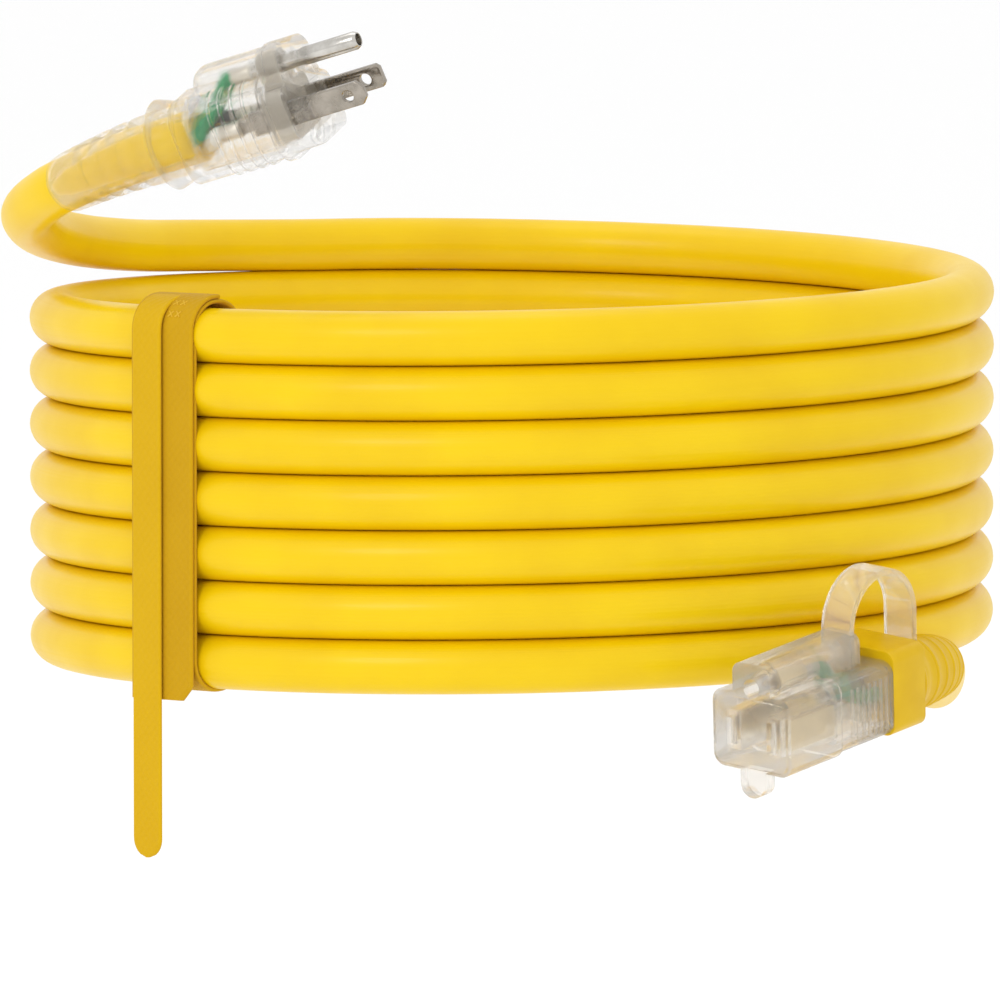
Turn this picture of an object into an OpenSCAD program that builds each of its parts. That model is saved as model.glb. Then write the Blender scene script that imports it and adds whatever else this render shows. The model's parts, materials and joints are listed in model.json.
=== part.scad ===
// Coiled grounded extension cord with clear moulded ends and a hook-and-loop strap.
// The coil's axis is Z. The plug is above the coil's left, the connector in front of its right.
// Every moulded end is drawn along its own X axis, which points out of its face, with the
// grounding side up, and is then turned and moved to where it lies.

/* [Cord] */
// Outside diameter of the jacket
cord_d = 14; // [12:0.5:16.5]
// Radius of the coil at the middle of the cord
coil_r = 120; // [100:1:145]
// Whole turns that lie on each other
coil_turns = 7; // [5:1:8]
// Diameter of one insulated conductor
wire_d = 4.3; // [3.2:0.1:4.8]
// Diameter of the bare copper
copper_d = 2.6; // [1.6:0.1:3]

/* [Blades and pin] */
// Distance between the middles of the two blades
blade_gap = 12.7; // [11:0.1:15]
// Height of a blade
blade_h = 6.35; // [5:0.05:7.8]
// Thickness of a blade
blade_t = 1.5; // [1.2:0.1:1.8]
// Length of a blade outside the face
blade_out = 16; // [13.5:0.5:19.5]
// Radius of the hole in a blade
blade_hole_r = 1.6; // [1:0.1:2]
// Distance from the tip of a blade to its hole
hole_from_tip = 5; // [4:0.1:6.5]
// Height of the pin above the blades
pin_rise = 11.9; // [11:0.1:14]
// Outside radius of the pin
pin_r = 2.4; // [2:0.05:2.9]
// Wall of the hollow pin
pin_wall = 0.8; // [0.5:0.1:1]
// Length of the pin outside the face
pin_out = 16.6; // [14:0.2:20]

/* [Plug body] */
// Width of the plug's body
plug_w = 24; // [23:0.5:29]
// Height of the plug's body without the pin housing
plug_h = 22.4; // [20:0.2:27]
// Corner radius of the plug's body
plug_corner = 7; // [5:0.5:9]
// Length of the body from its front face to its collar's back
plug_len = 47; // [44:1:58]
// Length of the tapered nose
nose_len = 9; // [7:0.5:11]
// Radius of the collar at the back
collar_r = 12; // [10.5:0.5:14.5]
// Wall of the moulded cover
cover_wall = 3; // [2.2:0.1:3.2]
// Number of grip ribs
rib_count = 4; // [2:1:5]

/* [Connector body] */
// Width of the connector's front block
conn_w = 25; // [24:0.5:30]
// Height of the front block
conn_h = 20.4; // [19:0.2:24.6]
// Corner radius of the front block
conn_corner = 3.5; // [2:0.5:5]
// Length of the clear body
conn_len = 44; // [42:1:53]
// Length of the yellow block at the back
block_len = 13; // [11:0.5:16]
// Length of the slots' part, in front of the step
front_len = 22; // [20:1:24]
// Width of the grounding ridge on top
ridge_w = 12; // [10.5:0.5:14.5]
// Height of the ridge's top above the blades
ridge_top = 18.4; // [17.5:0.1:22]
// Radius of the grounding socket
socket_r = 2.5; // [2.45:0.05:3]
// Width of a blade slot
slot_w = 1.9; // [1.8:0.1:2.3]
// Width of the rounded lug under the face
lug_w = 7.4; // [6:0.2:10]
// Length of the lug below the block
lug_len = 7; // [5:0.2:9]

/* [Hang loop] */
// Width of the band
loop_w = 9.4; // [7:0.2:11.5]
// Thickness of the band
loop_t = 1.9; // [1.5:0.1:2.3]
// Radius of the loop inside
loop_r = 12; // [10:0.2:14]
// Height of the loop's top above the blades
loop_top = 32; // [30:0.5:39]

/* [Strap] */
// Width of the wide band
band_w = 22; // [18:0.5:27]
// Thickness of each layer of tape
tape_t = 1.2; // [1:0.1:1.6]
// Width of the narrow tail
tail_w = 10; // [8:0.5:12]
// Length of the tail that hangs below the hinge line
tail_len = 40; // [33:1:48]
// Angle round the coil from the front to the strap
strap_angle = 44; // [38:1:55]

/* [Hidden] */

$fn = 48;
yellow = "gold";
clear = [0.93, 0.91, 0.87, 0.45];
nickel = "silver";
cord_r = cord_d / 2;
wire_r = wire_d / 2;
copper_r = copper_d / 2;
cord_sides = 12;
wire_sides = 8;

// The turns rise half a cord from back to front, so the wound ring leans by this angle.
ring_h = coil_turns * cord_d;
lean = atan(cord_d / 2 / (2 * coil_r));
mid_drop = cord_d / 4;

// The routes below are laid out round a coil of outside radius 127 and height 98, and follow it.
reach = (coil_r + cord_r) / 127;
lift = ring_h - 98;
function spread(p, z = 0) = [p[0] * reach, p[1] * reach, p[2] + z];
function spread_all(route, z = 0) = [for (p = route) spread(p, z)];

// How the ends are turned: roll, pitch, yaw; and where the backs of their clear or yellow bodies lie.
plug_turn = [17.5, -16.5, -26.5];
plug_back_at = spread([-89.3, -67.9, 143.7], lift);
conn_turn = [-6, 9.5, -130];
conn_back_at = spread([95.9, -116.9, 10.1]);

// Places along the plug, behind its front face.
bridge_front = -6;
bridge_back = -12;
blade_back = -21;
pin_back = -15;
pin_shank_r = pin_r - 0.2;
crimp_len = 6;
lead_end = 11 - plug_len;
body_back = 9 - plug_len;
// Places along the connector, behind its face.
ridge_back = 6.1 - conn_len;
lug_front = -0.6;
lug_back = -5.2;
contact_front = -5;
contact_back = -front_len;
ground_back = contact_back + 4;
leg_front = -5.5 - conn_len + loop_r;
relief_start = -conn_len - block_len;
conn_lead_end = relief_start + 7;
tail_gap = 0.3;

function turned(v, a) =
  let (x = [v[0], v[1] * cos(a[0]) - v[2] * sin(a[0]), v[1] * sin(a[0]) + v[2] * cos(a[0])],
       y = [x[0] * cos(a[1]) + x[2] * sin(a[1]), x[1], x[2] * cos(a[1]) - x[0] * sin(a[1])])
  [y[0] * cos(a[2]) - y[1] * sin(a[2]), y[0] * sin(a[2]) + y[1] * cos(a[2]), y[2]];
// The middle of each end's front face.
plug_at = plug_back_at + turned([plug_len, 0, 0], plug_turn);
conn_at = conn_back_at + turned([conn_len + block_len, 0, 0], conn_turn);
function on_plug(x) = plug_at + turned([x, 0, 0], plug_turn);
function on_connector(x) = conn_at + turned([x, 0, 0], conn_turn);
// A point of the cord's top or bottom turn at an angle from the coil's right.
function top_turn(a) =
  [coil_r * cos(a), coil_r * sin(a), ring_h + mid_drop * (1 + a / 90)];
function bottom_turn(a) =
  [coil_r * cos(a), coil_r * sin(a), mid_drop * (1 + a / 90)];

// The cord from the top turn to the plug, and from the bottom turn to the connector.
plug_route = [
  for (a = [0:15:105]) top_turn(a),
  each spread_all([[-60, 104, 106], [-83, 88, 107], [-101, 67, 108.5], [-115, 43, 111.5],
    [-124, 16, 116], [-127, -12, 121.5], [-125, -27.5, 125.5], [-119, -42, 130.5],
    [-114.5, -49, 133], [-109.5, -54.5, 135.5], [-103, -60, 138.5], [-97, -64, 141]], lift),
  on_plug(-plug_len - 4), on_plug(-plug_len), on_plug(lead_end)];
plug_relief_first = 16;
plug_relief_last = len(plug_route) - 2;
conn_route = [
  for (a = [75:-15:45]) bottom_turn(a),
  each spread_all([[96, 68, 3.8], [104, 50, 2.8], [108, 32, 1.8], [109.8, 14, 0.8],
    [110.3, -4, 0.2], [110.4, -22, 0.3], [110.5, -38, 1.6], [110.6, -53, 4.2], [110.4, -66, 7],
    [109.8, -78, 9.2], [108.6, -88.5, 10.6], [106, -98.5, 11.2], [101.8, -108.2, 11.2]]),
  on_connector(relief_start - 4), on_connector(relief_start), on_connector(conn_lead_end)];
conn_relief_first = 12;
conn_relief_last = len(conn_route) - 2;

// A round bar of given radii swept along part of a route.
function unit(v) = v / norm(v);
function heading(route, i) = unit(route[min(i + 1, len(route) - 1)] - route[max(i - 1, 0)]);
function ring(route, i, r, n) =
  let (t = heading(route, i), u = unit(cross(t, [0, 0, 1])), w = cross(u, t))
  [for (k = [0:n - 1]) route[i] + r * (cos(360 * k / n) * u + sin(360 * k / n) * w)];
module swept(route, first, last, r_first, r_last, n) {
  rings = last - first;
  points = [for (i = [first:last])
    each ring(route, i, r_first + (r_last - r_first) * (i - first) / rings, n)];
  sides = [for (i = [0:rings - 1], k = [0:n - 1])
    let (a = i * n + k, b = i * n + (k + 1) % n) each [[a, b, b + n], [a, b + n, a + n]]];
  ends = [[for (k = [n - 1:-1:0]) k], [for (k = [0:n - 1]) rings * n + k]];
  polyhedron(points, concat(sides, ends), convexity = 6);
}
module whole_sweep(route, r, n) swept(route, 0, len(route) - 1, r, r, n);

module at_plug() translate(plug_at) rotate([0, 0, plug_turn[2]])
  rotate([0, plug_turn[1], 0]) rotate([plug_turn[0], 0, 0]) children();
module at_connector() translate(conn_at) rotate([0, 0, conn_turn[2]])
  rotate([0, conn_turn[1], 0]) rotate([conn_turn[0], 0, 0]) children();
// A frame that leans with the wound ring, with X pointing out through the strap.
module at_strap() translate([0, 0, mid_drop]) rotate([-lean, 0, 0])
  rotate([0, 0, -90 - strap_angle]) children();

module rounded(w, h, r) {
  square([w - 2 * r, h], center = true);
  square([w, h - 2 * r], center = true);
  for (x = [-1, 1], y = [-1, 1]) translate([x * (w / 2 - r), y * (h / 2 - r)]) circle(r);
}
// A bar along X from x0 to x1, w wide and from z0 to z1 high, with rounded long edges.
module bar(x0, x1, w, z0, z1, r) translate([x0, 0, (z0 + z1) / 2])
  rotate([90, 0, 90]) linear_extrude(x1 - x0) rounded(w, z1 - z0, r);
module rod(x0, x1, r, y = 0, z = 0) translate([x0, y, z]) rotate([0, 90, 0]) cylinder(x1 - x0, r, r);
module taper(x0, x1, r0, r1) translate([x0, 0, 0]) rotate([0, 90, 0]) cylinder(x1 - x0, r0, r1);
module box(x0, x1, w, h, y = 0, z = 0) translate([x0, y - w / 2, z - h / 2]) cube([x1 - x0, w, h]);

// Cord
module cord_coil() color(yellow) translate([0, 0, mid_drop]) rotate([-lean, 0, 0])
  rotate_extrude() translate([coil_r, ring_h / 2]) rounded(cord_d, ring_h, cord_r - 0.01);
module plug_lead() color(yellow) whole_sweep(plug_route, cord_r, cord_sides);
module connector_lead() color(yellow) whole_sweep(conn_route, cord_r, cord_sides);

// Plug
module plug_wire_room() {
  bar(body_back + 3, bridge_back, plug_w - 2 * cover_wall, -plug_h / 2 + cover_wall,
    plug_h / 2 - cover_wall, 3);
  bar(-30, bridge_back, 6.6, 0, pin_rise + 3.3, 3);
}
module bridge_shape() {
  bar(bridge_back, bridge_front, plug_w - 2 * cover_wall, -7, 7, 3);
  bar(bridge_back, bridge_front, 8, 0, pin_rise + 4, 3.9);
}
module plug_body() {
  hull() {
    bar(-nose_len, 0.5 - nose_len, plug_w - 1.6, -plug_h / 2 + 0.6, plug_h / 2 - 0.6, plug_corner - 1);
    bar(-0.5, 0, plug_w - 5, 1.2 - plug_h / 2, 5.6, 3);
  }
  bar(-nose_len - 2, -nose_len, plug_w + 2, -plug_h / 2 - 1, plug_h / 2 + 1, plug_corner + 1);
  bar(body_back, -nose_len, plug_w, -plug_h / 2, plug_h / 2, plug_corner);
  for (i = [0:rib_count - 1])
    bar(-16 - 3.4 * i, -15.2 - 3.4 * i, plug_w + 1, -plug_h / 2 - 0.5, plug_h / 2 + 0.5, plug_corner);
  bar(-27, -1.3, 10.8, 0, pin_rise + 5.4, 5.3);
  bar(-nose_len, -0.3, 12.4, 0, pin_rise + 6.1, 6.1);
  translate([-27, 0, pin_rise]) sphere(5.4);
  taper(body_back - 4, body_back + 2, collar_r - 1.5, plug_h / 2 - 0.6);
  taper(1 - plug_len, body_back - 3, collar_r, collar_r - 1.5);
  taper(-plug_len, 1 - plug_len, collar_r - 1, collar_r);
}
module plug_cover() color(clear) at_plug() difference() {
  plug_body();
  plug_wire_room();
  bridge_shape();
  rod(-plug_len - 1, lead_end + 1, cord_r);
  for (y = [-1, 1]) box(bridge_front - 1, 1, blade_t, blade_h, y * blade_gap / 2);
  rod(bridge_front - 1, 1, pin_shank_r, 0, pin_rise);
}
module plug_bridge() color("ivory") at_plug() difference() {
  bridge_shape();
  for (y = [-1, 1]) box(bridge_back - 1, bridge_front + 1, blade_t, blade_h, y * blade_gap / 2);
  rod(bridge_back - 1, bridge_front + 1, pin_shank_r, 0, pin_rise);
}
module plug_strain_relief() color(clear) difference() {
  swept(plug_route, plug_relief_first, plug_relief_last, cord_r + 0.8, cord_r + 2.4, cord_sides);
  swept(plug_route, plug_relief_first - 1, plug_relief_last + 1, cord_r, cord_r, cord_sides);
}
// One blade, seen from its side: the corners of its tip are cut by tip_cut.
module blade(side, tip_cut) at_plug() translate([0, side * blade_gap / 2, 0]) difference() {
  translate([0, blade_t / 2, 0]) rotate([90, 0, 0]) linear_extrude(blade_t) polygon([
    [blade_back, -1.6], [blade_back + 3, -1.6], [blade_back + 3, -blade_h / 2],
    [blade_out - tip_cut, -blade_h / 2], [blade_out, tip_cut - blade_h / 2],
    [blade_out, blade_h / 2 - tip_cut], [blade_out - tip_cut, blade_h / 2],
    [blade_back + 3, blade_h / 2], [blade_back + 3, 1.6], [blade_back, 1.6]]);
  translate([blade_out - hole_from_tip, 0, 0]) rotate([90, 0, 0])
    cylinder(blade_t + 1, blade_hole_r, blade_hole_r, center = true);
}
module hot_blade() color(nickel) blade(1, 1);
module neutral_blade() color(nickel) blade(-1, 1.7);
module ground_pin() color(nickel) at_plug() translate([0, 0, pin_rise]) difference() {
  union() {
    rod(pin_back, 1, pin_shank_r);
    rod(0.3, pin_out - 1, pin_r);
    taper(pin_out - 1, pin_out, pin_r, pin_r - 0.5);
  }
  rod(1, pin_out + 1, pin_r - pin_wall);
}
// An insulated wire from x0, with its bare end in a crimp that starts at x.
module wire(x0, start, points, x, y, z) {
  whole_sweep([[x0, start[0], start[1]], [x0 + 1.5, start[0], start[1]], each points,
    [x - 1.5, y, z], [x, y, z]], wire_r, wire_sides);
  rod(x, x + crimp_len - 1, copper_r, y, z);
}
plug_crimp_x = blade_back - crimp_len;
pin_crimp_x = pin_back - crimp_len;
side_y = blade_gap / 2;
module plug_hot_wire() color("dimgray") at_plug()
  wire(lead_end, [2.2, 2.6], [[-32, 4.4, 1.6]], plug_crimp_x, side_y, 0);
module plug_neutral_wire() color("white") at_plug()
  wire(lead_end, [1.2, -3.2], [[-32.2, -2.6, -2.4]], plug_crimp_x, -side_y, 0);
module plug_ground_wire() color("seagreen") at_plug()
  wire(lead_end, [-3.4, 0.6], [[-33, -2.5, 2.8], [-30, -1.2, 5], [-27.5, -0.4, 7], [-25, 0, 9.7]],
    pin_crimp_x, 0, pin_rise);
module crimp(x, y, z) difference() {
  rod(x, x + crimp_len, copper_r + 0.9, y, z);
  rod(x - 1, x + crimp_len - 1, copper_r, y, z);
}
module plug_crimps() color(nickel) at_plug() {
  for (y = [-1, 1]) crimp(plug_crimp_x, y * side_y, 0);
  crimp(pin_crimp_x, 0, pin_rise);
}

// Connector
conn_low = 0.35 - conn_h / 2;
conn_high = conn_low + conn_h;
face_high = min(conn_high - 1, pin_rise - socket_r - 0.3);
module connector_body() {
  bar(-front_len, -1, conn_w, conn_low, conn_high, conn_corner);
  bar(-1.5, 0, conn_w - 2, conn_low + 1, face_high, conn_corner - 1);
  bar(-conn_len, -front_len, conn_w - 1.4, conn_low + 0.4, conn_high - 0.4, conn_corner);
  bar(ridge_back, -1, ridge_w, 0, ridge_top, 3);
  bar(lug_back, lug_front, lug_w, conn_low - lug_len, 0, lug_w / 2 - 0.1);
}
module connector_cover() color(clear) at_connector() difference() {
  connector_body();
  for (y = [-1, 1]) box(-front_len - 0.5, -2.5, 4.2, 10, y * side_y);
  box(-3, 1, slot_w, blade_h + 0.9, -side_y);
  box(-3, 1, slot_w, blade_h + 2.1, side_y);
  rod(-9, 1, socket_r, 0, pin_rise);
  rod(-front_len - 0.5, -8.5, 3.4, 0, pin_rise);
  bar(-conn_len - 1, -front_len, conn_w - 2 * cover_wall, conn_low + cover_wall,
    conn_high - cover_wall, 3);
  bar(-33.5, -front_len, 6.8, 0, pin_rise + 3.4, 3);
  loop_path(0);
}
module connector_block() color(yellow) at_connector() difference() {
  bar(relief_start, -conn_len, conn_w - 1, conn_low, 12.4, 3);
  rod(relief_start - 1, conn_lead_end, cord_r);
  for (p = conductors) rod(conn_lead_end - 1, 1 - conn_len, wire_r, p[0], p[1]);
}
module connector_strain_relief() color(yellow) difference() {
  swept(conn_route, conn_relief_first, conn_relief_last, cord_r + 0.8, cord_r + 3.4, cord_sides);
  swept(conn_route, conn_relief_first - 1, conn_relief_last + 1, cord_r, cord_r, cord_sides);
  at_connector() loop_path(0);
}
// A folded contact: two springy leaves joined at the back.
module blade_contact(y) at_connector() {
  for (s = [-1, 1]) box(contact_back, contact_front, 0.6, 8, y + s * (blade_t / 2 + 0.3));
  box(contact_back - 0.8, contact_back, blade_t + 1.2, 4, y);
}
module hot_contact() color(nickel) blade_contact(-side_y);
module neutral_contact() color(nickel) blade_contact(side_y);
module ground_contact() color(nickel) at_connector() difference() {
  rod(ground_back - 0.8, -8.5, socket_r + 0.5, 0, pin_rise);
  rod(ground_back, -8, socket_r, 0, pin_rise);
  box(ground_back + 2, -8, 1.2, 8, 0, pin_rise - 4);
}
conductors = [[3.4, 0.6], [0.3, -3.4], [-3.2, 1.8]];
conn_crimp_x = contact_back - 0.8 - crimp_len;
ground_crimp_x = ground_back - 0.8 - crimp_len;
module connector_ground_wire() color("seagreen") at_connector()
  wire(conn_lead_end, conductors[0], [[-conn_len, 3.4, 0.6], [-38.5, 3, 1], [-34.5, 2, 2.6],
    [-31, 0.9, 5.8], [-28.6, 0.2, 9.6]], ground_crimp_x, 0, pin_rise);
module connector_neutral_wire() color("white") at_connector()
  wire(conn_lead_end, conductors[1], [[-conn_len, 0.3, -3.4], [-39, 2.6, -3.8], [-34.5, 5.6, -2]],
    conn_crimp_x, side_y, 0);
module connector_hot_wire() color("dimgray") at_connector()
  wire(conn_lead_end, conductors[2], [[-conn_len, -3.2, 1.8], [-39, -4.4, 1.2], [-34.5, -5.8, 0.4]],
    conn_crimp_x, -side_y, 0);
module connector_crimps() color(nickel) at_connector() {
  for (y = [-1, 1]) crimp(conn_crimp_x, y * side_y, 0);
  crimp(ground_crimp_x, 0, pin_rise);
}
module power_lamp() color("mintcream") at_connector() {
  rod(-33, -29, 1.5, -5, -5);
  translate([-29, -5, -5]) sphere(1.5);
}
module lamp_resistor() color("tan") at_connector() rod(-40, -34.5, 1.1, -5, -5);
// The loop's band, seen from its side: a half ring on two straight legs. The front leg stands in
// the clear cover and the back leg in the strain relief.
loop_mid = loop_top - loop_r - loop_t;
module loop_path(grow) translate([leg_front - loop_r, loop_w / 2 + grow, loop_mid])
  rotate([90, 0, 0]) linear_extrude(loop_w + 2 * grow) {
    difference() {
      circle(loop_r + loop_t + grow, $fn = 72);
      circle(loop_r - grow, $fn = 72);
      translate([0, -50]) square(100, center = true);
    }
    translate([loop_r - grow, 8.6 - loop_mid]) square([loop_t + 2 * grow, loop_mid - 8.5]);
    translate([-loop_r - loop_t - grow, 8.6 - loop_mid]) square([loop_t + 2 * grow, loop_mid - 8.5]);
  }
module hang_loop() color(clear) at_connector() loop_path(0);

// Strap, in a frame where X points away from the coil's axis
in_x = sqrt(pow(coil_r - cord_r, 2) - pow(band_w / 2, 2)) - tail_gap;
out_x = coil_r + cord_r + tail_gap;
corner_r = cord_r;
flap_end = -tape_t - tail_gap - 2;
peel_z = ring_h - 6;
swing_z = flap_end - 1;
strip_x = out_x + 2 * tape_t + tail_gap;
strip_y = (tail_w - band_w) / 2 + 1.9;
// The fold that the tail swings on, after the ring's lean.
swing_point = [0, 0, mid_drop] + turned(
  turned([strip_x + tape_t / 2, strip_y, swing_z], [0, 0, -90 - strap_angle]), [-lean, 0, 0]);
module band_side(grow) translate([(in_x + out_x) / 2, ring_h / 2])
  rounded(out_x - in_x + 2 * grow, ring_h + 2 * tail_gap + 2 * grow, corner_r + grow);
// A strip of tape from a side view, w wide with its middle at y.
module across(w, y) translate([0, y + w / 2, 0]) rotate([90, 0, 0]) linear_extrude(w) children();
module strap_loop() color("goldenrod") at_strap() across(band_w, 0) difference() {
  band_side(tape_t);
  band_side(0);
}
module strap_flap() color("goldenrod") at_strap() across(band_w, 0) {
  difference() {
    band_side(2 * tape_t);
    band_side(tape_t);
    translate([0, -500]) square([2 * coil_r, 1000 + 2 * ring_h - 12], center = true);
    translate([in_x - 10, ring_h - 20]) square([out_x - in_x + 6, 60]);
  }
  translate([out_x + tape_t, flap_end]) square([tape_t, ring_h - 6 - flap_end]);
}
module strap_anchor() color("orange") at_strap() across(tail_w, strip_y) difference() {
  band_side(3 * tape_t + tail_gap);
  band_side(2 * tape_t + tail_gap);
  translate([0, peel_z + 1 - 500]) square([4 * coil_r, 1000], center = true);
  translate([in_x - 20, peel_z]) square([out_x - in_x + 16, 60]);
}
module strap_strip() color("orange") at_strap()
  box(strip_x, strip_x + tape_t, tail_w, peel_z - swing_z - 1.5, strip_y, (peel_z + swing_z + 1.5) / 2);
module strap_tail() color("orange") translate(swing_point) rotate([0, 0, -90 - strap_angle])
  rotate([90, 0, 90]) translate([0, 0, -tape_t / 2]) linear_extrude(tape_t) {
    translate([-tail_w / 2, tail_w / 2 - tail_len]) square([tail_w, tail_len - tail_w / 2 - 0.7]);
    translate([0, tail_w / 2 - tail_len]) circle(tail_w / 2);
  }

cord_coil();
plug_lead();
connector_lead();
plug_cover();
plug_bridge();
plug_strain_relief();
hot_blade();
neutral_blade();
ground_pin();
plug_hot_wire();
plug_neutral_wire();
plug_ground_wire();
plug_crimps();
connector_cover();
connector_block();
connector_strain_relief();
hot_contact();
neutral_contact();
ground_contact();
connector_hot_wire();
connector_neutral_wire();
connector_ground_wire();
connector_crimps();
power_lamp();
lamp_resistor();
hang_loop();
strap_loop();
strap_flap();
strap_anchor();
strap_strip();
strap_tail();
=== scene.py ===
import json
import math
import bmesh
import bpy
from mathutils import Matrix, Vector


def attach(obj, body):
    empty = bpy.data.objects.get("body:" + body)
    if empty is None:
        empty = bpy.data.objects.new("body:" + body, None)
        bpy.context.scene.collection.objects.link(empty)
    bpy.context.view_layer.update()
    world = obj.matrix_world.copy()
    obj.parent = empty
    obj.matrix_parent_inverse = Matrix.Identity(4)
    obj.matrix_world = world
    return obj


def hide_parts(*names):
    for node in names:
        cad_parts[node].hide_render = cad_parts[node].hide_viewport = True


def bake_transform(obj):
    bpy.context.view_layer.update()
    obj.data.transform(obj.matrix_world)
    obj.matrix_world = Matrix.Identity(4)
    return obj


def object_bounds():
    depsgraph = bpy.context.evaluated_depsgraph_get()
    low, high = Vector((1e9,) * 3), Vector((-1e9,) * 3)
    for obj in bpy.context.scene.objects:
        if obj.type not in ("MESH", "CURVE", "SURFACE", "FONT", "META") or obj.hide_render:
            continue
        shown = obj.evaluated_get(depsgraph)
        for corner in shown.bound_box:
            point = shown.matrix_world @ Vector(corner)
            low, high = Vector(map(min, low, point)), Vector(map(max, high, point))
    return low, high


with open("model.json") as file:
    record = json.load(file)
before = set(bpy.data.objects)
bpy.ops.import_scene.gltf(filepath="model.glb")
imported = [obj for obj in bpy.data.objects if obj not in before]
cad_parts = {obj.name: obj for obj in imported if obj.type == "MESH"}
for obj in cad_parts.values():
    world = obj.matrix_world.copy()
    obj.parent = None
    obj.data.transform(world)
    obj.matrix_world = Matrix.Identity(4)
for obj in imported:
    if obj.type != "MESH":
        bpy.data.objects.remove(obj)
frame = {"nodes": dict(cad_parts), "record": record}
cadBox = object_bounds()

mm = 0.001
nodes = frame["nodes"]
mounts = {m["name"]: m for m in frame["record"]["mounts"]}


# How far the blades' holes are in front of the plug's face, and the socket's mount behind the
# connector's
bladeHoleOut = 11 * mm
socketDepth = 9.5 * mm


# Frames of the moulded ends, from where their pins, holes and slots are: X points out of the face,
# Z towards the grounding side
def frameOf(origin, x, z):
    x = Vector(x).normalized()
    y = Vector(z).cross(x).normalized()
    return Matrix.Translation(origin) @ Matrix((x, y, x.cross(y))).transposed().to_4x4()


def plugFrame():
    x = Vector(mounts["ground_pin"]["axis"])
    y = -Vector(mounts["blade_holes"]["axis"])
    return frameOf(Vector(mounts["blade_holes"]["pos_m"]) - bladeHoleOut * x, x, x.cross(y))


def connectorFrame():
    x = Vector(mounts["blade_slots"]["axis"])
    face = Vector(mounts["blade_slots"]["pos_m"])
    socket = Vector(mounts["ground_socket"]["pos_m"]) + socketDepth * x
    return frameOf(face, x, socket - face)


atPlug = plugFrame()
atConnector = connectorFrame()

# Camera
cameraView = {
    "aim": (-0.0031, 0, 0.0458),
    "elevation": 5.12,
    "distance": 3.4,
    "lens": 463.9,
}


def addCamera(v):
    rise = math.radians(v["elevation"])
    data = bpy.data.cameras.new("camera")
    data.lens = v["lens"]
    data.clip_end = 20
    camera = bpy.data.objects.new("camera", data)
    back = Vector((0, -math.cos(rise), math.sin(rise)))
    camera.location = Vector(v["aim"]) + v["distance"] * back
    camera.rotation_euler = (math.pi / 2 - rise, 0, 0)
    bpy.context.scene.collection.objects.link(camera)
    bpy.context.scene.camera = camera


addCamera(cameraView)
print("camera placed")

# Cord: from inside the plug, round the back, seven turns down, and inside the ring to the connector
cord = {
    "diameter": 14 * mm,
    "coilRadius": 120 * mm,
    "turns": 7,
    "firstAngle": 105,
    "lastAngle": 45,
    "angleStep": 15,
    "bendIn": 4 * mm,
    "sides": 40,
    "ringGap": 5 * mm,
    "plugEnd": -36 * mm,
    "plugBack": -47 * mm,
    "blockBack": -57 * mm,
    "connectorEnd": -50 * mm,
}


def onPlug(x):
    return atPlug @ Vector((x, 0, 0))


def onConnector(x):
    return atConnector @ Vector((x, 0, 0))


def topTurn(angle):
    drop = cord["diameter"] / 4
    a = math.radians(angle)
    high = (cord["turns"] * 4 + 1 + angle / 90) * drop
    return Vector((cord["coilRadius"] * math.cos(a), cord["coilRadius"] * math.sin(a), high))


def cordRoute():
    c = cord
    plugSide = [(-97, -64, 141), (-103, -60, 138.5), (-109.5, -54.5, 135.5), (-114.5, -49, 133),
                (-119, -42, 130.5), (-125, -27.5, 125.5), (-127, -12, 121.5), (-124, 16, 116),
                (-115, 43, 111.5), (-101, 67, 108.5), (-83, 88, 107), (-60, 104, 106)]
    connectorSide = [(96, 68, 3.8), (104, 50, 2.8), (108, 32, 1.8), (109.8, 14, 0.8),
                     (110.3, -4, 0.2), (110.4, -22, 0.3), (110.5, -38, 1.6), (110.6, -53, 4.2),
                     (110.4, -66, 7), (109.8, -78, 9.2), (108.6, -88.5, 10.6), (106, -98.5, 11.2),
                     (101.8, -108.2, 11.2)]
    route = [onPlug(c["plugEnd"]), onPlug(c["plugBack"]), onPlug(c["plugBack"] - c["bendIn"])]
    route += [Vector(p) * mm for p in plugSide]
    last = c["lastAngle"] - 360 * c["turns"]
    route += [topTurn(a) for a in range(c["firstAngle"], last - 1, -c["angleStep"])]
    route += [Vector(p) * mm for p in connectorSide]
    route += [onConnector(c["blockBack"] - c["bendIn"]), onConnector(c["blockBack"]),
              onConnector(c["connectorEnd"])]
    return route


# A smooth line through the points, with an even step
def smoothed(points, gap):
    line = []
    for i in range(len(points) - 1):
        p0, p1 = points[max(i - 1, 0)], points[i]
        p2, p3 = points[i + 1], points[min(i + 2, len(points) - 1)]
        span = (p2 - p1).length
        m1 = (p2 - p0) * (span / max((p2 - p1).length + (p1 - p0).length, 1e-9))
        m2 = (p3 - p1) * (span / max((p3 - p2).length + (p2 - p1).length, 1e-9))
        steps = max(2, round(span / gap))
        for s in range(steps):
            t = s / steps
            line.append((2 * t**3 - 3 * t**2 + 1) * p1 + (t**3 - 2 * t**2 + t) * m1
                        + (3 * t**2 - 2 * t**3) * p2 + (t**3 - t**2) * m2)
    return line + [points[-1]]


def lengthOf(line):
    return sum((b - a).length for a, b in zip(line, line[1:]))


# Spokes square to a line at one of its points, with their angles
def spokesAt(line, i, sides):
    t = (line[min(i + 1, len(line) - 1)] - line[max(i - 1, 0)]).normalized()
    u = t.cross(Vector((0, 0, 1))).normalized()
    w = u.cross(t)
    turns = [2 * math.pi * k / sides for k in range(sides)]
    return [(a, math.cos(a) * u + math.sin(a) * w) for a in turns]


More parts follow.
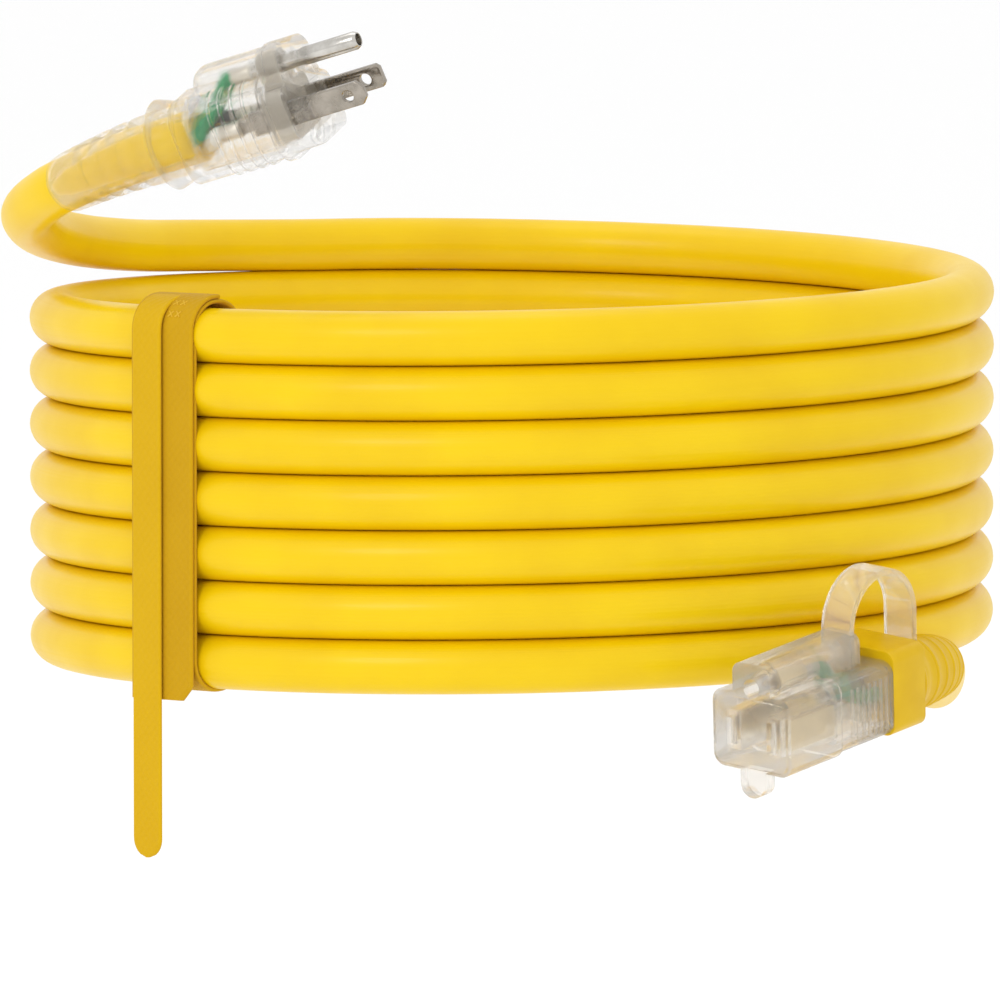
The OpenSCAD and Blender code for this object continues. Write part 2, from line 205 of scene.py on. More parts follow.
# A capped tube round a line; its UV map holds the distance along it and the share round it
def tube(name, line, radius, sides):
    verts, faces, along, travelled = [], [], [], 0
    walls = (len(line) - 1) * sides
    for i, p in enumerate(line):
        if i:
            travelled += (p - line[i - 1]).length
        along.append(travelled)
        verts += [p + radius * spoke for a, spoke in spokesAt(line, i, sides)]
    for i in range(len(line) - 1):
        for k in range(sides):
            a, b = i * sides + k, i * sides + (k + 1) % sides
            faces.append((a, a + sides, b + sides, b))
    faces.append(tuple(range(sides)))
    faces.append(tuple(reversed(range(walls, len(line) * sides))))
    mesh = bpy.data.meshes.new(name)
    mesh.from_pydata(verts, [], faces)
    layer = mesh.uv_layers.new(name="route")
    for face in mesh.polygons:
        wall = face.index < walls
        for loop in face.loop_indices:
            v = mesh.loops[loop].vertex_index
            side = (v % sides) / sides
            if wall and face.index % sides == sides - 1 and side == 0:
                side = 1
            layer.data[loop].uv = (along[v // sides], side)
        face.use_smooth = wall
    return addObject(name, mesh)


def addObject(name, mesh):
    obj = bpy.data.objects.new(name, mesh)
    bpy.context.scene.collection.objects.link(obj)
    return obj


# Shader maths: a socket that adds Math nodes as it is used in an expression
class Link:
    def __init__(self, tree, socket):
        self.tree = tree
        self.socket = socket

    def maths(self, kind, *values):
        return self.node("ShaderNodeMath", {"operation": kind}, values)

    def node(self, kind, settings, values, out=0):
        made = self.tree.nodes.new(kind)
        for key, value in settings.items():
            setattr(made, key, value)
        pairs = values.items() if isinstance(values, dict) else enumerate(values)
        for key, value in pairs:
            if isinstance(value, Link):
                self.tree.links.new(value.socket, made.inputs[key])
            elif value is not None:
                made.inputs[key].default_value = value
        return Link(self.tree, made.outputs[out])

    def __add__(self, other):
        return self.maths("ADD", self, other)

    def __radd__(self, other):
        return self.maths("ADD", other, self)

    def __sub__(self, other):
        return self.maths("SUBTRACT", self, other)

    def __rsub__(self, other):
        return self.maths("SUBTRACT", other, self)

    def __mul__(self, other):
        return self.maths("MULTIPLY", self, other)

    def __rmul__(self, other):
        return self.maths("MULTIPLY", other, self)

    def __truediv__(self, other):
        return self.maths("DIVIDE", self, other)

    def clamped(self):
        return self.maths("MAXIMUM", self.maths("MINIMUM", self, 1), 0)


def newMaterial(name):
    made = bpy.data.materials.new(name)
    made.use_nodes = True
    shader = made.node_tree.nodes["Principled BSDF"]
    return made, Link(made.node_tree, None), shader


def feed(link, shader, name):
    link.tree.links.new(link.socket, shader.inputs[name])


def objectPlace(pen):
    return pen.node("ShaderNodeTexCoord", {}, (), 3)


def noise(pen, place, scale, detail=2, rough=0.5):
    return pen.node("ShaderNodeTexNoise", {}, {"Vector": place, "Scale": scale, "Detail": detail,
                                               "Roughness": rough})


def mixColours(pen, factor, a, b):
    return pen.node("ShaderNodeMix", {"data_type": "RGBA"}, {0: factor, 6: a, 7: b}, 2)


def bump(pen, height, strength, distance):
    return pen.node("ShaderNodeBump", {}, {"Strength": strength, "Distance": distance,
                                           "Height": height})


# Jacket: semi-gloss vinyl with faint die lines along the cord and small smudges
jacket = {
    "bright": (0.84, 0.57, 0.0003, 1),
    "deep": (0.76, 0.48, 0.0003, 1),
    "roughness": 0.36,
    "coat": 0.06,
    "coatRoughness": 0.12,
    "gloss": 0.22,
    "dieLines": 90,
}


def jacketMaterial():
    made, pen, shader = newMaterial("jacket")
    route = pen.node("ShaderNodeUVMap", {"uv_map": "route"}, ())
    stretched = pen.node("ShaderNodeMapping", {},
                         {"Vector": route, "Scale": (2, jacket["dieLines"], 1)})
    lines = noise(pen, stretched, 1, 2)
    smudge = noise(pen, objectPlace(pen), 38, 3)
    fine = noise(pen, objectPlace(pen), 900, 2)
    tone = ((smudge - 0.35) * 1.6).clamped()
    feed(mixColours(pen, tone, jacket["bright"], jacket["deep"]), shader, "Base Color")
    feed(jacket["roughness"] + (smudge - 0.5) * 0.22 + (lines - 0.5) * 0.1, shader, "Roughness")
    feed(bump(pen, lines * 0.6 + fine * 0.25, 0.18, 0.0004), shader, "Normal")
    shader.inputs["Coat Weight"].default_value = jacket["coat"]
    shader.inputs["Coat Roughness"].default_value = jacket["coatRoughness"]
    shader.inputs["Specular IOR Level"].default_value = jacket["gloss"]
    return made


jacketSkin = jacketMaterial()
cordLine = smoothed(cordRoute(), cord["ringGap"])


def makeCord():
    piece = tube("power_cord", cordLine, cord["diameter"] / 2, cord["sides"])
    piece.data.materials.append(jacketSkin)
    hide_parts("cord_coil", "plug_lead", "connector_lead")
    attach(piece, "cord")
    return piece


powerCord = makeCord()


def declareCord():
    lengthOf(cordLine)
    print("cord made,", round(lengthOf(cordLine), 2), "m")


# Angles in degrees: faces under "flat" are merged, edges over "bevel" are softened, and edges over
# the others stay sharp
angles = {"flat": 1, "bevel": 32, "sharp": 38, "sleeveSharp": 50, "tapeSharp": 60}
weld = 0.001 * mm


# A merged copy of CAD nodes with soft edges, standing for them
def softened(name, cadNames, edge, material, segments=2):
    shape = bmesh.new()
    for n in cadNames:
        shape.from_mesh(nodes[n].data)
    bmesh.ops.remove_doubles(shape, verts=shape.verts, dist=weld)
    bmesh.ops.dissolve_limit(shape, angle_limit=math.radians(angles["flat"]), verts=shape.verts,
                             edges=shape.edges, delimit={"NORMAL"})
    mesh = bpy.data.meshes.new(name)
    shape.to_mesh(mesh)
    shape.free()
    piece = addObject(name, mesh)
    mesh.materials.append(material)
    for face in mesh.polygons:
        face.use_smooth = True
    if edge:
        bevel = piece.modifiers.new("soft edge", "BEVEL")
        bevel.width = edge * mm
        bevel.segments = segments
        bevel.limit_method = "ANGLE"
        bevel.angle_limit = math.radians(angles["bevel"])
    finishMesh(piece)
    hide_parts(*cadNames)
    return piece


# Turns a piece with modifiers into a plain mesh with sharp edges kept sharp
def finishMesh(piece):
    bpy.context.view_layer.update()
    graph = bpy.context.evaluated_depsgraph_get()
    plain = bpy.data.meshes.new_from_object(piece.evaluated_get(graph))
    piece.modifiers.clear()
    piece.data = plain
    plain.set_sharp_from_angle(angle=math.radians(angles["sharp"]))
    return piece


def placed(piece, body="cord"):
    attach(piece, body)
    return piece


# Clear moulded vinyl: it bends the light. Through is its transmission and solid its alpha
def clearMaterial(name, through, solid, roughness, light, dark, bend=1.27):
    made, pen, shader = newMaterial(name)
    cloudy = noise(pen, objectPlace(pen), 120, 3)
    fine = noise(pen, objectPlace(pen), 420, 2)
    feed(mixColours(pen, (cloudy * 1.1).clamped(), light, dark), shader, "Base Color")
    feed((roughness + (fine - 0.5) * 0.08).clamped(), shader, "Roughness")
    feed(bump(pen, cloudy + fine * 0.3, 0.12, 0.0006), shader, "Normal")
    shader.inputs["Transmission Weight"].default_value = through
    shader.inputs["Alpha"].default_value = solid
    shader.inputs["IOR"].default_value = bend
    return made


# Metal: nickel plate, brass and tin, with drawing marks and a few smudges
def metalMaterial(name, light, dark, roughness):
    made, pen, shader = newMaterial(name)
    smudge = noise(pen, objectPlace(pen), 260, 4, 0.6)
    scratch = noise(pen, objectPlace(pen), 1900, 2)
    feed(mixColours(pen, ((smudge - 0.3) * 1.8).clamped(), light, dark), shader, "Base Color")
    feed((roughness + (smudge - 0.5) * 0.3 + (scratch - 0.5) * 0.12).clamped(), shader, "Roughness")
    feed(bump(pen, scratch, 0.1, 0.0001), shader, "Normal")
    shader.inputs["Metallic"].default_value = 1
    return made


# Plain moulded or extruded plastic, matt or glossy
def plasticMaterial(name, light, dark, roughness, gloss=0.35):
    made, pen, shader = newMaterial(name)
    cloud = noise(pen, objectPlace(pen), 90, 3)
    fine = noise(pen, objectPlace(pen), 700, 3)
    feed(mixColours(pen, ((cloud - 0.3) * 1.7).clamped(), light, dark), shader, "Base Color")
    feed(roughness + (cloud - 0.5) * 0.2 + (fine - 0.5) * 0.1, shader, "Roughness")
    feed(bump(pen, fine, 0.15, 0.0003), shader, "Normal")
    shader.inputs["Specular IOR Level"].default_value = gloss
    return made


clear = clearMaterial("clear_vinyl", 0.93, 0.5, 0.08, (0.96, 0.95, 0.93, 1), (0.88, 0.85, 0.79, 1))
clearSleeve = clearMaterial("sleeve_vinyl", 0.9, 0.45, 0.05, (0.97, 0.96, 0.94, 1),
                            (0.92, 0.90, 0.86, 1))
milky = clearMaterial("milky_vinyl", 0.82, 0.72, 0.15, (0.95, 0.92, 0.86, 1),
                      (0.86, 0.80, 0.71, 1))
glossyBand = clearMaterial("clear_band", 0.8, 0.66, 0.05, (0.97, 0.96, 0.94, 1),
                           (0.91, 0.89, 0.84, 1), 1.42)
bridgeNylon = clearMaterial("bridge_nylon", 0.45, 0.8, 0.3, (0.74, 0.70, 0.62, 1),
                            (0.62, 0.57, 0.49, 1))
pinNickel = metalMaterial("pin_nickel", (0.62, 0.60, 0.56, 1), (0.38, 0.36, 0.33, 1), 0.22)
nickel = metalMaterial("nickel_plate", (0.40, 0.36, 0.31, 1), (0.22, 0.20, 0.165, 1), 0.26)
brass = metalMaterial("spring_brass", (0.80, 0.68, 0.42, 1), (0.60, 0.50, 0.30, 1), 0.35)
tin = metalMaterial("tinned_crimp", (0.70, 0.66, 0.58, 1), (0.50, 0.46, 0.40, 1), 0.4)
mouldedYellow = plasticMaterial("moulded_yellow", (0.72, 0.46, 0.001, 1), (0.62, 0.37, 0.001, 1),
                                0.36, gloss=0.22)
greenSkin = plasticMaterial("green_insulation", (0.010, 0.30, 0.10, 1), (0.008, 0.22, 0.08, 1),
                            0.4)
blackSkin = plasticMaterial("black_insulation", (0.03, 0.03, 0.03, 1), (0.02, 0.02, 0.02, 1),
                            0.45)
whiteSkin = plasticMaterial("white_insulation", (0.82, 0.81, 0.77, 1), (0.74, 0.73, 0.68, 1),
                            0.45)
lampGlass = clearMaterial("lamp_glass", 0.6, 0.8, 0.1, (0.9, 0.95, 0.9, 1), (0.8, 0.9, 0.8, 1))
resistorLacquer = plasticMaterial("resistor_lacquer", (0.60, 0.42, 0.22, 1),
                                  (0.5, 0.34, 0.18, 1), 0.3)
print("materials made")


# Metal, wires and the small parts inside the clear ends
def dressInsides():
    wires = {"ground_wire": (greenSkin, "ground_insulation"),
             "hot_wire": (blackSkin, "hot_insulation"),
             "neutral_wire": (whiteSkin, "neutral_insulation")}
    atFarEnd = []
    for end in ("plug", "connector"):
        made = [placed(softened(f"{end}_{kind}_jacket", [f"{end}_{kind}"], 0, skinned))
                for kind, (skinned, slot) in wires.items()]
        made.append(placed(softened(f"{end}_crimped_barrels", [f"{end}_crimps"], 0.15, tin)))
        if end == "connector":
            atFarEnd += made
    plated = (("hot_blade", nickel), ("neutral_blade", nickel), ("ground_pin", pinNickel))
    for name, metal in plated:
        placed(softened(name + "_plated", [name], 0.18, metal, 3))
    for name in ("hot_contact", "neutral_contact", "ground_contact"):
        atFarEnd.append(placed(softened(name + "_spring", [name], 0.1, brass)))
    placed(softened("blade_bridge", ["plug_bridge"], 0.3, bridgeNylon))
    atFarEnd.append(placed(softened("lamp_bulb", ["power_lamp"], 0.1, lampGlass)))
    atFarEnd.append(placed(softened("lamp_series_resistor", ["lamp_resistor"], 0.3,
                                    resistorLacquer, 3)))
    print("metal and wires dressed")
    return atFarEnd


# The moulded shells and the hang loop
def dressShells():
    placed(softened("plug_shell", ["plug_cover"], 0.35, clear, 3))
    made = [placed(softened("connector_shell", ["connector_cover"], 0.5, milky, 3)),
            placed(softened("connector_rear_block", ["connector_block"], 0.6, mouldedYellow, 3)),
            placed(softened("hang_loop_band", ["hang_loop"], 0.35, glossyBand, 3))]
    print("shells dressed")
    return made


# Geometry Nodes: one shape, a ring or a short rod, repeated at even steps along a line. Its size goes
# evenly from the first to the last
pattern = {"ringSteps": 48, "profileSteps": 10}


def repeated(name, points, numbers, material, ring=True):
    mesh = bpy.data.meshes.new(name)
    mesh.from_pydata(points, [(i, i + 1) for i in range(len(points) - 1)], [])
    piece = addObject(name, mesh)
    group = bpy.data.node_groups.new(name + "_pattern", "GeometryNodeTree")
    face = group.interface
    face.new_socket("Geometry", in_out="INPUT", socket_type="NodeSocketGeometry")
    face.new_socket("Geometry", in_out="OUTPUT", socket_type="NodeSocketGeometry")
    for label, kind in (("Count", "Int"), ("First size", "Float"), ("Last size", "Float"),
                        ("Thickness", "Float"), ("Start", "Vector"), ("End", "Vector")):
        face.new_socket(label, in_out="INPUT", socket_type="NodeSocket" + kind)
    face.new_socket("Material", in_out="INPUT", socket_type="NodeSocketMaterial")
    into = group.nodes.new("NodeGroupInput")
    pen = Link(group, None)

    def given(label):
        return Link(group, into.outputs[label])

    curve = pen.node("GeometryNodeMeshToCurve", {}, {"Mesh": given("Geometry")})
    spots = pen.node("GeometryNodeCurveToPoints", {"mode": "COUNT"},
                     {"Curve": curve, "Count": given("Count")})
    turn = Link(group, spots.socket.node.outputs["Rotation"])
    if ring:
        spine = pen.node("GeometryNodeCurvePrimitiveCircle", {},
                         {"Resolution": pattern["ringSteps"], "Radius": 1})
    else:
        spine = pen.node("GeometryNodeCurvePrimitiveLine", {},
                         {"Start": given("Start"), "End": given("End")})
    profile = pen.node("GeometryNodeCurvePrimitiveCircle", {},
                       {"Resolution": pattern["profileSteps"], "Radius": given("Thickness")})
    shape = pen.node("GeometryNodeCurveToMesh", {},
                     {"Curve": spine, "Profile Curve": profile, "Fill Caps": True})
    order = pen.node("GeometryNodeInputIndex", {}, ())
    share = order / (given("Count") - 1)
    size = given("First size") + share * (given("Last size") - given("First size"))
    copies = pen.node("GeometryNodeInstanceOnPoints", {},
                      {"Points": spots, "Instance": shape, "Scale": size,
                       "Rotation": turn if ring else (0, 0, 0)})
    solid = pen.node("GeometryNodeRealizeInstances", {}, {"Geometry": copies})
    smooth = pen.node("GeometryNodeSetShadeSmooth", {}, {"Geometry": solid})
    dressed = pen.node("GeometryNodeSetMaterial", {},
                       {"Geometry": smooth, "Material": given("Material")})
    group.links.new(dressed.socket, group.nodes.new("NodeGroupOutput").inputs[0])
    modifier = piece.modifiers.new("pattern", "NODES")
    modifier.node_group = group
    for item in face.items_tree:
        if item.in_out == "INPUT" and item.name in numbers:
            modifier[item.identifier] = numbers[item.name]
        elif item.in_out == "INPUT" and item.name == "Material":
            modifier[item.identifier] = material
    return finishMesh(piece)


# A sleeve round part of the cord; the outside is a function of the share of its length and angle
def sleeve(name, line, outside, material):
    total, travelled, outer, inner, faces = lengthOf(line), 0, [], [], []
    count, sides = len(line), relief["sides"]
    inside = cord["diameter"] / 2 + relief["clearance"]
    for i, p in enumerate(line):
        if i:
            travelled += (p - line[i - 1]).length
        for a, spoke in spokesAt(line, i, sides):
            outer.append(p + outside(travelled / total, math.degrees(a)) * spoke)
            inner.append(p + inside * spoke)
    rows = [range(i * sides, (i + 1) * sides) for i in range(count)]
    rows += [range((count + i) * sides, (count + i + 1) * sides) for i in reversed(range(count))]
    for here, after in zip(rows, rows[1:] + rows[:1]):
        for k in range(sides):
            j = (k + 1) % sides
            faces.append((here[k], after[k], after[j], here[j]))
    mesh = bpy.data.meshes.new(name)
    mesh.from_pydata(outer + inner, [], faces)
    piece = addObject(name, mesh)
    mesh.materials.append(material)
    for face in mesh.polygons:
        face.use_smooth = True
    mesh.set_sharp_from_angle(angle=math.radians(angles["sleeveSharp"]))
    return piece


# A pulse that is 1 inside its half width and falls smoothly to 0
def pulse(distance, half, fade):
    t = min(max((half + fade - abs(distance)) / fade, 0), 1)
    return t * t * (3 - 2 * t)


# The part of the cord's route from one place to another, in fine steps
def between(first, last):
    line = smoothed(cordRoute(), relief["step"])

    def nearest(p):
        return min(range(len(line)), key=lambda i: (line[i] - p).length)

    return line[nearest(first):nearest(last) + 1]


# Strain reliefs: both sleeves grow towards the body they are moulded to. Far and near are the wall's
# thickness away from it and at it; a slot's spread is in degrees
relief = {
    "step": 0.5 * mm,
    "sides": 72,
    "clearance": 0.02 * mm,
    "far": 0.8 * mm,
    "plugNear": 2.4 * mm,
    "plugFarPlace": (-114.5, -49, 133),
    "connectorNear": 3.4 * mm,
    "connectorFarPlace": (108.6, -88.5, 10.6),
    "slotStart": 5 * mm,
    "slotDepth": 1.6 * mm,
    "slotFloor": 0.2 * mm,
    "slotHalf": 0.75 * mm,
    "slotFade": 0.5 * mm,
    "slotSpread": 32,
    "slotSpreadFade": 7,
    "slotPitch": 5.6 * mm,
    "slots": 4,
    "rings": 6,
    "ringThickness": 0.09,
    "ringSink": 0.2 * mm,
    "lastRingSink": 0.7 * mm,
    "grooveDepth": 0.45 * mm,
    "bareShare": 12,
}


def plugSleeve():
    r = relief
    line = between(onPlug(cord["plugBack"]), Vector(r["plugFarPlace"]) * mm)
    total = lengthOf(line)

    # Rows of slots down the front, back, top and bottom, every other row half a step along
    def outside(share, angle):
        away = share * total
        grow = cord["diameter"] / 2 + r["plugNear"] + (r["far"] - r["plugNear"]) * share
        cut = 0
        for quarter in range(4):
            side = abs((angle - quarter * 90 + 180) % 360 - 180)
            start = r["slotStart"] + (quarter % 2) * r["slotPitch"] / 2
            for n in range(r["slots"]):
                lengthways = pulse(away - start - n * r["slotPitch"], r["slotHalf"], r["slotFade"])
                cut = max(cut, lengthways * pulse(side, r["slotSpread"], r["slotSpreadFade"]))
        return grow - cut * min(r["slotDepth"], grow - cord["diameter"] / 2 - r["slotFloor"])

    piece = sleeve("plug_bend_sleeve", line, outside, clearSleeve)
    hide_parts("plug_strain_relief")
    return placed(piece)


def connectorSleeve():
    r = relief
    line = between(Vector(r["connectorFarPlace"]) * mm, onConnector(cord["blockBack"]))

    def outside(share, angle):
        grooves = r["grooveDepth"] * (0.5 + 0.5 * math.cos(2 * math.pi * r["rings"] * share))
        return cord["diameter"] / 2 + r["far"] + (r["connectorNear"] - r["far"]) * share - grooves

    piece = sleeve("connector_bend_sleeve", line, outside, mouldedYellow)
    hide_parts("connector_strain_relief")
    first = cord["diameter"] / 2 + r["far"] - r["ringSink"]
    last = cord["diameter"] / 2 + r["connectorNear"] - r["lastRingSink"]
    inset = len(line) // r["bareShare"]
    rings = repeated("connector_relief_rings", line[inset:-inset],
                     {"Count": r["rings"], "First size": first, "Last size": last,
                      "Thickness": r["ringThickness"]}, mouldedYellow)
    return [placed(piece), placed(rings)]


# Fine upright ribs on both sides of the connector's clear body, in front of the yellow block
ribs = {
    "count": 7,
    "first": -27 * mm,
    "last": -41 * mm,
    "side": 11.75 * mm,
    "low": -7 * mm,
    "high": 7 * mm,
    "thickness": 0.5 * mm,
}


def connectorRibs():
    made = []
    turn = atConnector.to_3x3()
    for side in (-1, 1):
        ends = [atConnector @ Vector((x, side * ribs["side"], 0))
                for x in (ribs["first"], ribs["last"])]
        piece = repeated("side_ribs_" + ("right" if side < 0 else "left"), ends,
                         {"Count": ribs["count"], "First size": 1.0, "Last size": 1.0,
                          "Thickness": ribs["thickness"],
                          "Start": tuple(turn @ Vector((0, 0, ribs["low"]))),
                          "End": tuple(turn @ Vector((0, 0, ribs["high"])))}, milky, ring=False)
        made.append(placed(piece))
    return made


# Hook-and-loop strap, in millimetres, in a frame whose X points away from the coil's axis
strap = {
    "angle": 44,
    "inside": 112.16,
    "outside": 127.3,
    "high": 98,
    "corner": 7,
    "tape": 1.2,
    "gap": 0.3,
    "bandWidth": 22,
    "tailWidth": 10,
    "stripMiddle": -4.1,
    "flapEnd": -3.5,
    "flapCut": 3.5,
    "flapSteps": 40,
    "swing": -4.5,
    "tailLength": 40,
    "tipHalf": 0.6,
    "stripSteps": 130,
    "stripRise": 9,
    "frontDepth": 9,
    "foldHalf": 3 * mm,
    "columns": 16,
    "step": 1.6,
    "cornerStep": 10,
}
ringLean = math.atan(cord["diameter"] / 4 / cord["coilRadius"])
atStrap = (Matrix.Translation((0, 0, cord["diameter"] / 4)) @ Matrix.Rotation(-ringLean, 4, "X")
           @ Matrix.Rotation(math.radians(-90 - strap["angle"]), 4, "Z"))


# Woven tape that is lighter and raised along both edges; the threads' pitch is in radians for a metre
weave = {"along": 2400, "across": 2600, "lighterEdge": 1.1}


def tapeMaterial(name, light, dark, half):
    made, pen, shader = newMaterial(name)
    place = pen.node("ShaderNodeUVMap", {"uv_map": "weave"}, ())
    split = pen.node("ShaderNodeSeparateXYZ", {}, {"Vector": place})
    across = Link(split.tree, split.socket.node.outputs[1])
    along = split * weave["along"]
    sideways = across * weave["across"]
    threads = along.maths("SINE", along) * sideways.maths("SINE", sideways)
    fuzz = noise(pen, objectPlace(pen), 1500, 3, 0.7)
    patch = noise(pen, objectPlace(pen), 45, 3)
    # Both edges are made lighter in colour and raised by the bump, over about their last millimetre
    edge = (across.maths("ABSOLUTE", across) * 1000 - (half - weave["lighterEdge"])).clamped()
    tone = (patch * 0.9 + fuzz * 0.5 + threads * 0.08 - 0.3 - edge * 0.4).clamped()
    feed(mixColours(pen, tone, light, dark), shader, "Base Color")
    feed((0.78 + (fuzz - 0.5) * 0.3).clamped(), shader, "Roughness")
    feed(bump(pen, threads * 0.35 + fuzz + edge * 1.2, 0.45, 0.0003), shader, "Normal")
    shader.inputs["Sheen Weight"].default_value = 0.06
    shader.inputs["Sheen Roughness"].default_value = 0.5
    shader.inputs["Specular IOR Level"].default_value = 0.12
    return made


# A strip of tape along a path in the strap's side view, with rounded edges and a width that varies
def ribbon(name, path, widthAt, middle, material):
    verts, faces, spots, travelled = [], [], [], 0
    half, columns = strap["tape"] / 2, strap["columns"]
    for i, p in enumerate(path):
        if i:
            travelled += (p - path[i - 1]).length
        t = (path[min(i + 1, len(path) - 1)] - path[max(i - 1, 0)]).normalized()
        normal = Vector((t.y, -t.x))
        low, high = widthAt(i)
        for k in range(2 * columns + 2):
            top = k <= columns
            share = (k if top else 2 * columns + 1 - k) / columns
            y = low + (high - low) * (0.5 - 0.5 * math.cos(math.pi * share))
            near = min(y - low, high - y, half) / half
            lift = half * math.sqrt(max(1 - (1 - near) ** 2, 0.02)) * (1 if top else -1)
            q = p + normal * lift
            verts.append(atStrap @ (Vector((q.x, middle + y, q.y)) * mm))
            spots.append((travelled * mm, y * mm))
    size = 2 * columns + 2
    for i in range(len(path) - 1):
        for k in range(size):
            j = (k + 1) % size
            faces.append((i * size + k, i * size + j, (i + 1) * size + j, (i + 1) * size + k))
    faces.append(tuple(reversed(range(size))))
    faces.append(tuple(range((len(path) - 1) * size, len(path) * size)))
    mesh = bpy.data.meshes.new(name)
    mesh.from_pydata(verts, [], faces)
    layer = mesh.uv_layers.new(name="weave")
    for loop in mesh.loops:
        layer.data[loop.index].uv = spots[loop.vertex_index]
    shape = bmesh.new()
    shape.from_mesh(mesh)
    bmesh.ops.recalc_face_normals(shape, faces=shape.faces)
    shape.to_mesh(mesh)
    shape.free()
    for face in mesh.polygons:
        face.use_smooth = True
    mesh.set_sharp_from_angle(angle=math.radians(angles["tapeSharp"]))
    mesh.materials.append(material)
    return addObject(name, mesh)


# Points round the strap's closed side view at a given distance outside the ring
def wrapPath(grow):
    s = strap
    left, right = s["inside"] - grow, s["outside"] + grow
    low, high = -s["gap"] - grow, s["high"] + s["gap"] + grow
    r = s["corner"] + grow
    corners = [((right - r, low + r), -90), ((right - r, high - r), 0),
               ((left + r, high - r), 90), ((left + r, low + r), 180)]
    path = []
    for (x, z), start in corners:
        for a in range(0, 91, s["cornerStep"]):
            turn = math.radians(start + a)
            path.append(Vector((x + r * math.cos(turn), z + r * math.sin(turn))))
    path.append(path[0])
    full = []
    for a, b in zip(path, path[1:]):
        parts = max(1, round((b - a).length / s["step"]))
        full += [a + (b - a) * (n / parts) for n in range(parts)]
    return full + [path[-1]]


# The front half of a wrap, from the top down, carried on straight to a height in equal steps
def frontPath(wrap, height, steps):
    line = [p for p in wrap if p.x > strap["outside"] - strap["frontDepth"]
            and p.y > strap["high"] / 2][::-1]
    last = line[-1]
    end = Vector((last.x, height))
    return line, [last + (end - last) * ((n + 1) / steps) for n in range(steps)], end


def makeStrap():
    s = strap
    half = s["bandWidth"] / 2
    tape = tapeMaterial("loop_tape", (0.58, 0.33, 0.003, 1), (0.50, 0.27, 0.002, 1), half)
    strip = tapeMaterial("hook_tape", (0.66, 0.40, 0.004, 1), (0.59, 0.34, 0.003, 1),
                         s["tailWidth"] / 2)
    inner = ribbon("strap_band", wrapPath(s["tape"] / 2), lambda i: (-half, half), 0, tape)
    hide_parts("strap_loop")
    placed(inner)
    # The flap runs over the top and down the front, and its lower corner is cut
    over, drop, foot = frontPath(wrapPath(1.5 * s["tape"]), s["flapEnd"], s["flapSteps"])
    front = over + drop

    def flapWidth(i):
        left = (front[i] - foot).length
        return (-half, half - max(s["flapCut"] - left, 0))

    flap = ribbon("strap_flap_tape", front, flapWidth, 0, tape)
    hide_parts("strap_flap")
    placed(flap)
    # The narrow strip is sewn on over the top, runs down the front and hangs free below the ring
    line, drop, end = frontPath(wrapPath(2.5 * s["tape"] + s["gap"]),
                                s["swing"] - s["tailLength"], s["stripSteps"])
    sunk = wrapPath(1.2 * s["tape"])
    under = [min(sunk, key=lambda q: (q - p).length) for p in line]
    for n in range(s["stripRise"]):
        share = n / s["stripRise"]
        line[n] = under[n] + (line[n] - under[n]) * (share * share * (3 - 2 * share))
    line += drop
    wide = s["tailWidth"] / 2

    def stripWidth(i):
        left = (line[i] - end).length
        if left >= wide:
            return (-wide, wide)
        reach = max(math.sqrt(max(wide ** 2 - (wide - left) ** 2, 0)), s["tipHalf"])
        return (-reach, reach)

    tail = ribbon("strap_strip_and_tail", line, stripWidth, s["stripMiddle"], strip)
    fold = atStrap @ (Vector((end.x, s["stripMiddle"], s["swing"])) * mm)
    # Below the fold the tail hangs plumb, not along the leaning ring
    hinge = Matrix.Translation(fold) @ Matrix.Rotation(ringLean, 4, "X")
    for v in tail.data.vertices:
        if v.co.z < fold.z:
            v.co = (hinge @ Matrix.Translation(-fold)) @ v.co
    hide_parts("strap_anchor", "strap_strip", "strap_tail")
    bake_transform(tail)
    stitches(threadYellow)
    print("strap made")


# Two short rows of cross stitches through the flap, where it comes over the top. Rows are angles
# round the corner in degrees, and spots are millimetres across the tape
sewing = {"rows": (28, 50), "spots": (2.6, 5.2), "half": 0.8 * mm, "thread": 0.2 * mm}


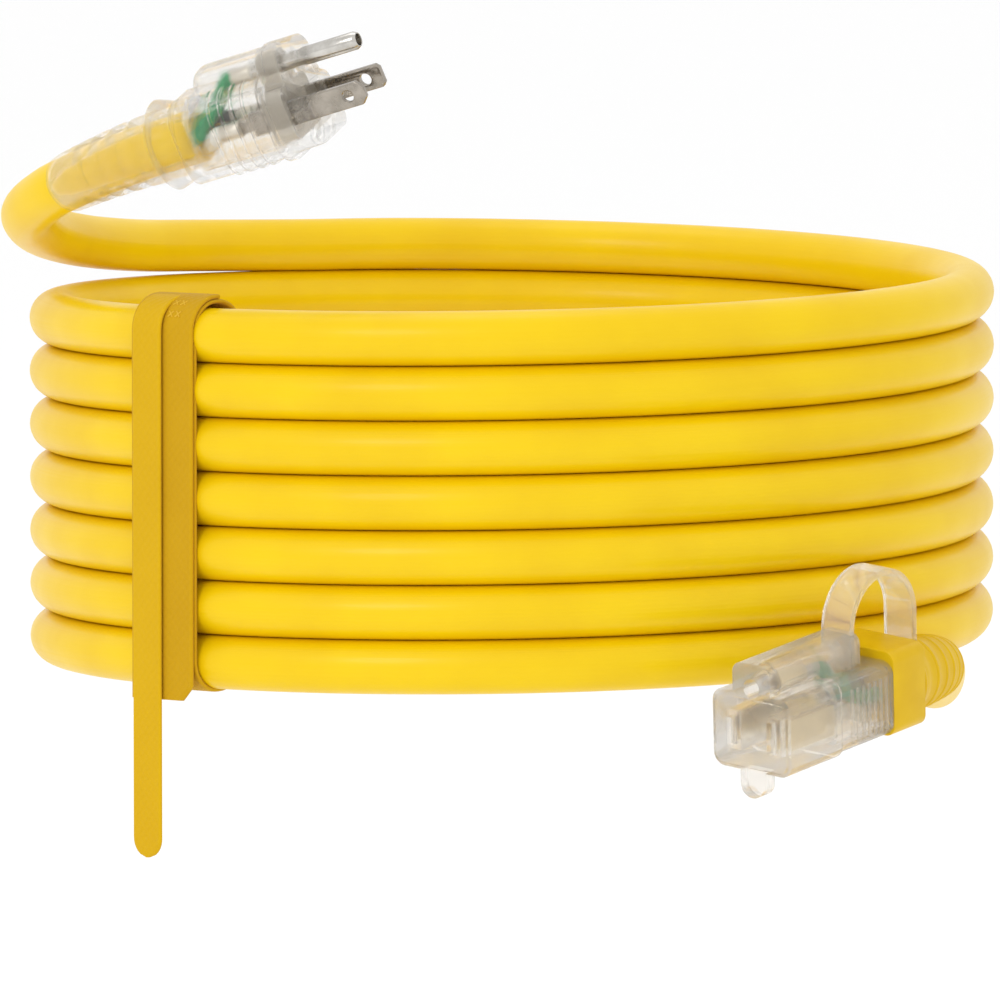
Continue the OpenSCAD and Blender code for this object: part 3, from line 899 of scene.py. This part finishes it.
def stitches(material):
    s = strap
    reach = s["corner"] + 2 * s["tape"]
    corner = Vector((s["outside"] - s["corner"], s["high"] + s["gap"] - s["corner"]))
    turn = atStrap.to_3x3()
    side = Vector((0, sewing["half"], 0))
    for row, angle in enumerate(sewing["rows"]):
        a = math.radians(angle)
        x, z = corner + reach * Vector((math.cos(a), math.sin(a)))
        ends = [atStrap @ (Vector((x, y, z)) * mm) for y in sewing["spots"]]
        fall = Vector((-math.sin(a), 0, math.cos(a))) * sewing["half"]
        for lean in (-1, 1):
            piece = repeated(f"stitches_{row}_{'a' if lean < 0 else 'b'}", ends,
                             {"Count": 2, "First size": 1.0, "Last size": 1.0,
                              "Thickness": sewing["thread"],
                              "Start": tuple(turn @ (-side - lean * fall)),
                              "End": tuple(turn @ (side + lean * fall))}, material, ring=False)
            placed(piece)


threadYellow = plasticMaterial("sewing_thread", (0.70, 0.43, 0.02, 1), (0.62, 0.37, 0.015, 1),
                               0.6)
farEnd = dressInsides() + dressShells()
plugSleeve()
farEnd += connectorSleeve() + connectorRibs()
declareCord()
makeStrap()

# Studio
studio = {
    "floorDepth": 150 * mm,
    "key": {"size": 0.9, "power": 11, "place": (-1.2, -1.9, 1.3)},
    "fill": {"size": 2.2, "power": 1.5, "place": (1.8, -1.6, 0.9)},
    "top": {"size": 1.2, "power": 4, "place": (-0.3, 0.4, 1.9)},
    "aim": (0, 0, 0.06),
    "sky": 1.0,
    "floorHalf": 25,
    "paper": (0.99, 0.99, 0.99, 1),
    "paperRoughness": 0.8,
}


def addLight(name, spec, aim):
    data = bpy.data.lights.new(name, "AREA")
    data.shape = "DISK"
    data.size = spec["size"]
    data.energy = spec["power"]
    lamp = bpy.data.objects.new(name, data)
    lamp.location = spec["place"]
    lamp.rotation_euler = (Vector(aim) - lamp.location).to_track_quat("-Z", "Y").to_euler()
    bpy.context.scene.collection.objects.link(lamp)


def addStudio():
    bpy.context.scene.view_settings.view_transform = "Standard"
    world = bpy.data.worlds.new("studio")
    bpy.context.scene.world = world
    world.use_nodes = True
    sky = world.node_tree.nodes["Background"]
    sky.inputs["Color"].default_value = (1, 1, 1, 1)
    sky.inputs["Strength"].default_value = studio["sky"]
    for name in ("key", "fill", "top"):
        addLight(name, studio[name], studio["aim"])
    depth = cadBox[0][2] - studio["floorDepth"]
    mesh = bpy.data.meshes.new("floor")
    shape = bmesh.new()
    bmesh.ops.create_grid(shape, x_segments=2, y_segments=2, size=studio["floorHalf"])
    shape.to_mesh(mesh)
    mesh.transform(Matrix.Translation((0, 0, depth)))
    floor = addObject("floor", mesh)
    made, pen, shader = newMaterial("paper")
    shader.inputs["Base Color"].default_value = studio["paper"]
    shader.inputs["Roughness"].default_value = studio["paperRoughness"]
    mesh.materials.append(made)
    print("studio ready")


addStudio()
